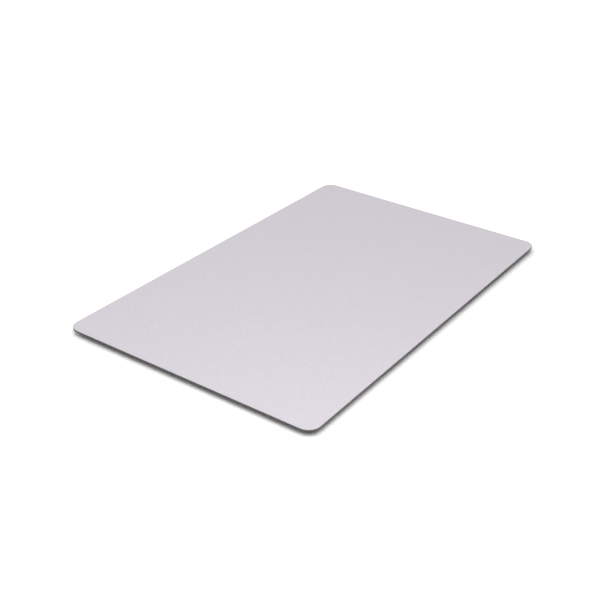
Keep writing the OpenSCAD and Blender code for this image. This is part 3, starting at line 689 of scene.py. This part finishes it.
ribbon_film = printed_film("ribbon_film", ribbon_pattern)
solder = plated("solder", solder_colour, solder_roughness)
strip_ends = [(Vector((x, strip_y, ribbon_low.z)), strip_d / 2) for x in (ribbon_low.x, ribbon_high.x)]
ribbon_strip = film_strip("ribbon_strip", ribbon_film, strip_ends, across_strip, strip_t)
fasten(ribbon_strip, "base", "gauge_film", "coil_ribbon")
dome = [(0, 0)] + quarter(0, 0, solder_r, solder_h)
domes = bmesh.new()
for name in coils:
    low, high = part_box("coil_" + name)
    for side in (-1, 1):
        foot = Vector(((low.x + high.x) / 2 + side * lead_x, strip_y, strip_top))
        lathe(domes, foot, [dome] * solder_sides)
fasten(make_piece("coil_joints", domes, solder), "base", "anchor_tin", "coil_ribbon")
levels = (ribbon_low.z, ribbon_high.z - strip_t)
for name, run, lower, upper, bend_start, bend_end in (
        ("ribbon_tail", (ribbon_high.y - strip_d, ribbon_middle), "base", "suspension",
            ribbon_rise, ribbon_middle),
        ("ribbon_end", (ribbon_middle, ribbon_low.y), "suspension", "touch_plate",
            ribbon_middle, ribbon_top)):
    stations = climb(
        lambda y: Vector((ribbon_tail_x, y, 0)), ribbon_tail_w / 2, run, (ribbon_rise, ribbon_top), levels)
    piece = film_strip(name, ribbon_film, stations, across_ribbon, strip_t)
    bend = ((0, bend_start, ribbon_low.z), (0, bend_end, ribbon_low.z))
    flex(piece, "gauge_film", "coil_ribbon", lower, upper, *bend)

# Gel pads
# Soft clear silicone discs, cast and bonded between the tongues and the stiffener. Their sides bulge, and
# they shear a little each time the magnet shakes the plate.
gel_colour = (0.74, 0.75, 0.77)
gel_roughness = 0.2
gel_grain = 0.4 * mm
gel_depth = 0.002 * mm
gel_clear = 0.6
gel_refraction = 1.41
gel_bulge = 0.12 * mm
gel_sides = 64
gel_rows = 8


def gel_outline(radius, height):
    side = []
    for i in range(gel_rows + 1):
        share = i / gel_rows
        side.append((radius - gel_bulge + gel_bulge * math.sin(math.pi * share), height * share))
    return [(0, 0)] + side + [(0, height)]


silicone = moulded("silicone_gel", gel_colour, gel_roughness, gel_grain, gel_depth)
silicone_shader = silicone.node_tree.nodes["Principled BSDF"]
silicone_shader.inputs["Transmission Weight"].default_value = gel_clear
silicone_shader.inputs["IOR"].default_value = gel_refraction
for corner in corners:
    node = "gel_pad_" + corner
    low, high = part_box(node)
    size = high - low
    pad = pad_centre(corner)
    discs = bmesh.new()
    lathe(discs, pad, [gel_outline(size.x / 2, size.z)] * gel_sides)
    disc = make_piece("gel_disc_" + corner, discs, silicone)
    flex(disc, "silicone_gel", node, "suspension", "touch_plate", pad, pad + Vector((0, 0, size.z)))

# Stiffener plate
# Thin cold-rolled steel, punched like the tray and bonded under the sensor board to keep it flat. It is
# open over the chips, the coils, the nuts and the feet of the flexures.
stiffener_colour = (0.54, 0.55, 0.57)
stiffener_roughness = 0.4
dress(sheet_steel("stiffener_steel", stiffener_colour, stiffener_roughness, along_x), "stiffener_plate")

# Armature
# A soft iron bar, ground on its pole face, with a flange that four rivets hold under the stiffener. The
# core's legs pull on it and that shakes the plate.
iron_colour = (0.40, 0.385, 0.37)
iron_roughness = 0.45
along_y = (1, 0.03, 1)
dress(sheet_steel("soft_iron", iron_colour, iron_roughness, along_y), "armature")
dress(rivet_steel, "armature_rivets")

# Sensor board
# A thin fibreglass board under a green mask, with the touch electrodes on its hidden top. Its underside shows
# bundles of tracks, small plated holes and gilded test pads, and its rim beyond the tray is printed black.
bare_colour = (0.012, 0.052, 0.031)
copper_under_mask = (0.030, 0.118, 0.070)
gilt_colour = (0.80, 0.58, 0.25)
gilt_roughness = 0.24
rim_colour = (0.016, 0.016, 0.017)
fibreglass_colour = (0.20, 0.19, 0.13)
rim_inset = 0.6 * mm
track_pitch = 0.4 * mm
track_share = 0.55
straight_share = 0.4
over_run = 11 * mm
over_jog = 2.4 * mm
over_spacing = 9.2 * mm
over_w = 3.4 * mm
down_run = 7 * mm
down_jog = 1.6 * mm
down_spacing = 12.4 * mm
down_w = 3 * mm
hole_spacing = 1.7 * mm
hole_r = 0.13 * mm
hole_scatter = 0.6
mask_patch = 4 * mm
mask_depth = 0.02 * mm
pad_pitch = 2.6 * mm
pad_r = 0.45 * mm
pad_t = 0.012 * mm
pad_room = 0.9 * mm
pad_room_points = 8
pad_field_x = 68 * mm
pad_field_y = 38 * mm
pad_share = 0.4
pad_seed = 4
pad_sides = 24
below_all = -1 * mm


def jogged(along, across, run, jog):
    """Place across tracks that run straight for a while and then step aside at 45 degrees, and back."""
    swing = along.math("PINGPONG", along, run) - straight_share * run
    return across + swing.math("MINIMUM", swing.math("MAXIMUM", swing, 0), jog)


def dots(place, spacing, radius):
    """Round spots of that radius, one in each cell of that spacing, off the cell's middle."""
    cells = scaled(place, (1 / spacing, 1 / spacing, 0))
    nearest = place.add(
        "ShaderNodeTexVoronoi", {"voronoi_dimensions": "2D"},
        {"Vector": cells, "Scale": 1, "Randomness": hole_scatter})
    return nearest < radius / spacing


circuit_board, place = new_finish("circuit_board")
over = jogged(axis(place, "X"), axis(place, "Y"), over_run, over_jog)
down = jogged(axis(place, "Y"), axis(place, "X"), down_run, down_jog)
over_bundle = lanes(over, over_spacing, over_w / over_spacing)
down_bundle = lanes(down, down_spacing, down_w / down_spacing)
plane = (1 - over_bundle) * (1 - down_bundle)
over_tracks = over_bundle * lanes(over, track_pitch, track_share)
down_tracks = down_bundle * (1 - over_bundle) * lanes(down, track_pitch, track_share)
copper = plane + over_tracks + down_tracks
holes = dots(place, hole_spacing, hole_r)
mask_cloud = speckle(place, mask_patch)
masked = mix(copper * (1 - holes), bare_colour, shade(mask_cloud, copper_under_mask, 0.85, 1))
tray_low, tray_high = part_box("base_tray")
side_rim = abs(axis(place, "X")) > tray_high.x - rim_inset
end_rim = abs(axis(place, "Y")) > tray_high.y - rim_inset
rim = side_rim.math("MAXIMUM", side_rim, end_rim)
set_shader(circuit_board, place, {
    "Base Color": mix(upright(place), mix(rim, masked, rim_colour), fibreglass_colour),
    "Roughness": 0.34 + 0.12 * mask_cloud + 0.25 * upright(place),
    "Normal": bump(copper - holes, mask_depth)})
dress(circuit_board, "sensor_board")

board_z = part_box("sensor_board")[0].z
hangs_below = []
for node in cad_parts:
    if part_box(node)[1].z < board_z + weld:
        solid = welded_copy(node)
        hangs_below.append(BVHTree.FromBMesh(solid))
        solid.free()
pad_ring = [math.tau * i / pad_room_points for i in range(pad_room_points)]
pad_probes = [Vector()] + [pad_room * Vector((math.cos(t), math.sin(t), 0)) for t in pad_ring]


def free(spot):
    """Whether nothing hangs below the board at this spot or close round it."""
    for probe in pad_probes:
        start = Vector((spot.x, spot.y, below_all)) + probe
        if any(part.ray_cast(start, Vector((0, 0, 1)))[0] is not None for part in hangs_below):
            return False
    return True


chance = random.Random(pad_seed)
pad_outline = [(0, 0), (pad_r, 0), (pad_r, -pad_t), (0, -pad_t)]
pads = bmesh.new()
across_count = int(pad_field_x / pad_pitch)
down_count = int(pad_field_y / pad_pitch)
for i in range(-across_count, across_count + 1):
    for j in range(-down_count, down_count + 1):
        spot = Vector((pad_pitch * i, pad_pitch * j, board_z))
        if chance.random() < pad_share and free(spot):
            lathe(pads, spot, [pad_outline] * pad_sides)
contact_gold = plated("contact_gold", gilt_colour, gilt_roughness)
fasten(make_piece("test_pads", pads, contact_gold), "touch_plate", "contact_gold")

# Chips
# Moulded black resin packages, soldered to the underside of the board by rows of small joints. A pale spot
# is burnt in beside the first joint, and nothing else is marked on them.
resin_colour = (0.028, 0.028, 0.031)
resin_grain = 0.06 * mm
resin_depth = 0.004 * mm
spot_colour = (0.16, 0.16, 0.16)
spot_r = 0.25 * mm
spot_inset = 0.75 * mm
joint_pitch = 0.5 * mm
joint_w = 0.26 * mm
joint_out = 0.2 * mm
joint_h = 0.14 * mm
end_margin = 0.6 * mm
four_sided = ("touch_controller", "main_controller", "force_converter", "coil_driver")
two_sided = ("memory_chip", "motion_sensor")
sides_x = (Vector((1, 0, 0)), Vector((-1, 0, 0)))
sides_y = (Vector((0, 1, 0)), Vector((0, -1, 0)))


def chip_resin(node):
    """Matte black resin with the spot in the corner of this chip."""
    low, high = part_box(node)
    spot = (low.x + spot_inset, high.y - spot_inset, 0)
    finish, place = new_finish(node + "_resin")
    fine = speckle(place, resin_grain, detail=4)
    flat = scaled(place, (1, 1, 0))
    away = place.add("ShaderNodeVectorMath", {"operation": "DISTANCE"}, {0: flat, 1: spot}, "Value")
    burnt = away < spot_r
    set_shader(finish, place, {
        "Base Color": mix(burnt, shade(fine, resin_colour, 0.6, 1.4), spot_colour),
        "Roughness": 0.5 + 0.25 * (fine - 0.5) + 0.15 * burnt,
        "Normal": bump(fine - burnt, resin_depth)})
    return finish


def joint(bm, foot, outward, half, out, rise):
    """A wedge of solder from a part's wall to the board, which is above it."""
    along = Vector((outward.y, outward.x, 0)) * half
    down = Vector((0, 0, -rise))
    wedge = (Vector(), outward * out, outward * out / 3 + down / 2, down)
    rows = [[bm.verts.new(foot + shift + point) for point in wedge] for shift in (along, -along)]
    skin(bm, rows, capped=True)


def wall_top(low, high, outward):
    """Middle of the upper end of one upright side of a box."""
    half = (high - low) / 2
    middle = (low + high) / 2
    return Vector((middle.x + outward.x * half.x, middle.y + outward.y * half.y, high.z))


def joint_row(bm, low, high, outward):
    """Joints along one upright side of a chip's box."""
    along = Vector((abs(outward.y), abs(outward.x), 0))
    length = (high - low).dot(along) - 2 * end_margin
    count = int(length / joint_pitch) + 1
    for i in range(count):
        foot = wall_top(low, high, outward) + along * joint_pitch * (i - (count - 1) / 2)
        joint(bm, foot, outward, joint_w / 2, joint_out, joint_h)


joints = bmesh.new()
for node in four_sided + two_sided:
    dress(chip_resin(node), node)
    low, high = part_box(node)
    for outward in sides_x + (sides_y if node in four_sided else ()):
        joint_row(joints, low, high, outward)
fasten(make_piece("chip_joints", joints, solder), "touch_plate", "anchor_tin")

# Clock crystal
# A quartz plate sealed in a low nickel-plated can. It is soldered to the board near the main controller.
crystal_colour = (0.68, 0.66, 0.61)
crystal_roughness = 0.22
dress(plated("crystal_can", crystal_colour, crystal_roughness), "clock_crystal")

# Boost inductor
# A coil pressed into a block of iron powder and soldered at both ends. It lifts the voltage for the
# magnet's pulses.
ferrite_colour = (0.085, 0.085, 0.09)
ferrite_roughness = 0.6
ferrite_grain = 0.1 * mm
ferrite_depth = 0.008 * mm
ferrite = moulded("ferrite", ferrite_colour, ferrite_roughness, ferrite_grain, ferrite_depth)
dress(ferrite, "boost_inductor")

# Storage capacitors
# Two moulded tantalum blocks that store each pulse, with a brown band at the positive end. They are
# soldered at both ends, as the inductor is.
storage_colour = (0.60, 0.36, 0.07)
storage_grain = 0.08 * mm
storage_depth = 0.003 * mm
band_colour = (0.17, 0.07, 0.02)
band_w = 0.6 * mm
storage_joint_w = 1.4 * mm
storage_joint_out = 0.3 * mm
storage_joint_h = 0.21 * mm
storage_resin, place = new_finish("storage_resin")
band = axis(place, "X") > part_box("storage_capacitors")[1].x - band_w
grain = speckle(place, storage_grain, detail=3)
set_shader(storage_resin, place, {
    "Base Color": mix(band, shade(grain, storage_colour, 0.85, 1.15), band_colour),
    "Roughness": 0.42 + 0.2 * (grain - 0.5),
    "Normal": bump(grain, storage_depth)})
dress(storage_resin, "storage_capacitors")
end_joints = bmesh.new()
for node in ("storage_capacitors", "boost_inductor"):
    for low, high in solids(node):
        for outward in sides_x:
            foot = wall_top(low, high, outward)
            joint(end_joints, foot, outward, storage_joint_w / 2, storage_joint_out, storage_joint_h)
fasten(make_piece("power_joints", end_joints, solder), "touch_plate", "anchor_tin")

# Small capacitors and resistors
# Fired ceramic blocks with tinned caps on both ends, soldered in rows beside the chips. The capacitors are
# tan, and the resistors are glazed black.
capacitor_colour = (0.42, 0.27, 0.15)
capacitor_roughness = 0.45
capacitor_depth = 0.002 * mm
glaze_colour = (0.05, 0.05, 0.055)
glaze_roughness = 0.3
glaze_depth = 0.001 * mm
ceramic_grain = 0.1 * mm
cap_l = 0.25 * mm
cap_step = 0.02 * mm
block_edge = 0.03 * mm
capacitor_ceramic = moulded(
    "capacitor_ceramic", capacitor_colour, capacitor_roughness, ceramic_grain, capacitor_depth)
resistor_ceramic = moulded("resistor_ceramic", glaze_colour, glaze_roughness, ceramic_grain, glaze_depth)


def block(bm, low, high, finish_index):
    """A box with bevelled edges."""
    shape = Matrix.Translation((low + high) / 2) @ Matrix.Diagonal((*(high - low), 1))
    made = bmesh.ops.create_cube(bm, size=1, matrix=shape)
    edges = list({e for vert in made["verts"] for e in vert.link_edges})
    edges.sort(key=lambda e: tuple(e.verts[0].co + e.verts[1].co))
    for face in {f for vert in made["verts"] for f in vert.link_faces}:
        face.material_index = finish_index
    bmesh.ops.bevel(bm, geom=edges, offset=block_edge, segments=2, profile=0.5, affect="EDGES")


for node, ceramic, name, slot in (
        ("small_capacitors", capacitor_ceramic, "capacitor_blocks", "capacitor_ceramic"),
        ("small_resistors", resistor_ceramic, "resistor_blocks", "resistor_ceramic")):
    blocks = bmesh.new()
    for low, high in solids(node):
        lengthways = Vector((1, 0, 0)) if high.x - low.x > high.y - low.y else Vector((0, 1, 0))
        sideways = Vector((lengthways.y, lengthways.x, 0))
        inset = (lengthways + sideways) * cap_step
        block(blocks, low + inset + Vector((0, 0, cap_step)), high - inset, 0)
        far = lengthways * ((high - low).dot(lengthways) - cap_l)
        block(blocks, low, high - far, 1)
        block(blocks, low + far, high, 1)
    fasten(make_piece(name, blocks, ceramic, solder), "touch_plate", slot, node)

# Host connector
# A flat-cable socket moulded in pale heat-proof resin, with twenty gilded contacts and two tinned anchors
# soldered to the board. Its dark latch turns on two pins and presses the cable down.
socket_colour = (0.70, 0.65, 0.53)
latch_colour = (0.065, 0.05, 0.042)
anchor_colour = (0.68, 0.68, 0.67)
anchor_roughness = 0.36
socket_roughness = 0.4
socket_grain = 0.08 * mm
socket_depth = 0.002 * mm
socket_resin = moulded("connector_resin", socket_colour, socket_roughness, socket_grain, socket_depth)
latch_resin = moulded("latch_resin", latch_colour, socket_roughness, socket_grain, socket_depth)
dress(socket_resin, "connector_housing")
dress(contact_gold, "connector_contacts")
dress(plated("anchor_tin", anchor_colour, anchor_roughness), "connector_anchors")
dress(latch_resin, "connector_latch")

# Adhesive sheet
# A milky double-sided film, cut from a roll. It bonds all but the rim of the board to the underside of
# the glass.
bond_colour = (0.80, 0.80, 0.78)
bond_roughness = 0.5
bond_grain = 0.5 * mm
bond_depth = 0.002 * mm
dress(moulded("bonding_film", bond_colour, bond_roughness, bond_grain, bond_depth), "glass_adhesive")

# Cover glass
# Toughened glass with a fine acid-etched top and ground edges. The edges' dark grey is painted shade.
# Silver ink with a lilac cast is printed on its underside and backed with black. It is the face that the
# fingers touch, and all that shows from above.
glass_colour = (0.602, 0.566, 0.617)
# Painted shade: the upright ground edges are given this dark grey to stand for the shade they lie in.
shaded_edge_colour = (0.10, 0.098, 0.103)
ink_colour = (0.022, 0.022, 0.024)
etch_grain = 0.22 * mm
etch_mottle = 1.1 * mm
etch_depth = 0.004 * mm
print_patch = 18 * mm
etched_glass, place = new_finish("etched_glass")
etch = speckle(place, etch_grain, detail=4)
mottle = speckle(place, etch_mottle, detail=3)
print_cloud = speckle(place, print_patch, detail=3)
ground_and_shaded_edge = upright(place)
backed = facing_up(place) < -slope_limit
etched = 0.35 * etch + 0.55 * mottle + 0.1 * print_cloud
face = shade(etched, glass_colour, 0.88, 1.12)
# Painted shade: the upright edges get a dark grey that stands for the shade they lie in.
edge = shade(etch, shaded_edge_colour, 0.8, 1.2)
ink = shade(print_cloud, ink_colour, 0.8, 1.2)
set_shader(etched_glass, place, {
    "Base Color": mix(backed, mix(ground_and_shaded_edge, face, edge), ink),
    "Roughness": 0.5 + 0.25 * (etch - 0.5) + 0.1 * ground_and_shaded_edge,
    "Normal": bump(etch, etch_depth)})
dress(etched_glass, "cover_glass")

# Table
# A plain white table top under the tray. It is open where the tray covers it and clear from below, so
# that the underside can be looked at and lit as well.
table_w = 5
table_gap = 0.02 * mm
table_edge = 1 * mm
hole_corner_r = 3 * mm
hole_corner_points = 16
table_bounce = (0.88, 0.88, 0.88)
table_shown = (1.15, 1.15, 1.15)


def shown_rays(wire):
    """1 on rays that show the background to the camera, in gloss or through glass, and 0 on the rest."""
    camera_rays = wire.add("ShaderNodeLightPath", {}, {}, "Is Camera Ray")
    glossy_rays = wire.add("ShaderNodeLightPath", {}, {}, "Is Glossy Ray")
    glass_rays = wire.add("ShaderNodeLightPath", {}, {}, "Is Transmission Ray")
    return wire.math("MAXIMUM", camera_rays, wire.math("MAXIMUM", glossy_rays, glass_rays))


hole = tray_high - tray_low - Vector((2 * table_edge, 2 * table_edge, 0))
top = bmesh.new()
rows = []
for width, depth in ((hole.x, hole.y), (table_w, table_w)):
    loop = rounded_loop(width, depth, hole_corner_r, hole_corner_points)
    rows.append([top.verts.new((x, y, tray_low.z - table_gap)) for x, y in loop])
skin(top, rows)
table_top, place = new_finish("table_top")
lit = place.add("ShaderNodeBsdfDiffuse", {}, {"Color": mix(shown_rays(place), table_bounce, table_shown)})
clear = place.add("ShaderNodeBsdfTransparent", {}, {})
from_below = place.add("ShaderNodeNewGeometry", {}, {}, "Backfacing")
surface = place.add("ShaderNodeMixShader", {}, {0: from_below, 1: lit, 2: clear})
place.plug(table_top.node_tree.nodes["Material Output"].inputs["Surface"], surface)
show("table", top, [table_top])

# Studio light
# A white tent that is brightest overhead. One soft box above the near corner makes that end of the glass a
# little paler, and one below the table brings out the beads and edges of the underside.
tent_side = 0.15
tent_top = 1.8
tent_below = 0.5
tent_crown = Vector((0.16, 0.34, 0.9)).normalized()
white = (1, 1, 1)
soft_boxes = (
    ("upper_box", Vector((-0.12, -0.08, 0.14)), 0.16, 0.11),
    ("lower_box", Vector((0.22, 0.16, -0.16)), 0.3, 0.35))
tent = bpy.data.worlds.new("tent")
tent.use_nodes = True
bpy.context.scene.world = tent
sky = Wire(tent.node_tree, tent.node_tree.nodes.new("ShaderNodeTexCoord").outputs["Generated"])
towards_top = sky.add("ShaderNodeVectorMath", {"operation": "DOT_PRODUCT"}, {0: sky, 1: tent_crown}, "Value")
towards_top = sky.math("MAXIMUM", towards_top, 0)
above = axis(sky, "Z") > 0
level = tent_side + (tent_top - tent_side) * towards_top * towards_top
level = level * above + tent_below * (1 - above)
grey = sky.add("ShaderNodeCombineColor", {}, {0: level, 1: level, 2: level})
sky.plug(tent.node_tree.nodes["Background"].inputs["Color"], mix(shown_rays(sky), grey, white))
for name, box_place, box_size, box_power in soft_boxes:
    soft_box = bpy.data.lights.new(name, "AREA")
    soft_box.size = box_size
    soft_box.energy = box_power
    lamp = bpy.data.objects.new(name, soft_box)
    lamp.location = box_place
    lamp.rotation_mode = "QUATERNION"
    lamp.rotation_quaternion = (-box_place).to_track_quat("-Z", "Y")
    bpy.context.scene.collection.objects.link(lamp)

# Camera
# It stands to the left of the front edge and looks down at 29 degrees, a little tilted, through a long lens.
camera_place = Vector((-0.28794, -0.18370, 0.18405))
camera_yaw = math.radians(33.863)
camera_pitch = math.radians(29.055)
camera_roll = math.radians(1.952)
camera_lens = 62.74
camera_sensor = 36
camera_near = 0.01
forward = Vector((
    math.cos(camera_pitch) * math.cos(camera_yaw), math.cos(camera_pitch) * math.sin(camera_yaw),
    -math.sin(camera_pitch)))
level_right = Vector((math.sin(camera_yaw), -math.cos(camera_yaw), 0))
level_up = level_right.cross(forward)
right = math.cos(camera_roll) * level_right + math.sin(camera_roll) * level_up
up = math.cos(camera_roll) * level_up - math.sin(camera_roll) * level_right
camera_data = bpy.data.cameras.new("camera")
camera_data.lens = camera_lens
camera_data.sensor_width = camera_sensor
camera_data.clip_start = camera_near
camera = bpy.data.objects.new("camera", camera_data)
camera.matrix_world = Matrix.Translation(camera_place) @ Matrix((right, up, -forward)).transposed().to_4x4()
bpy.context.scene.collection.objects.link(camera)
bpy.context.scene.camera = camera
bpy.context.scene.view_settings.view_transform = "Standard"
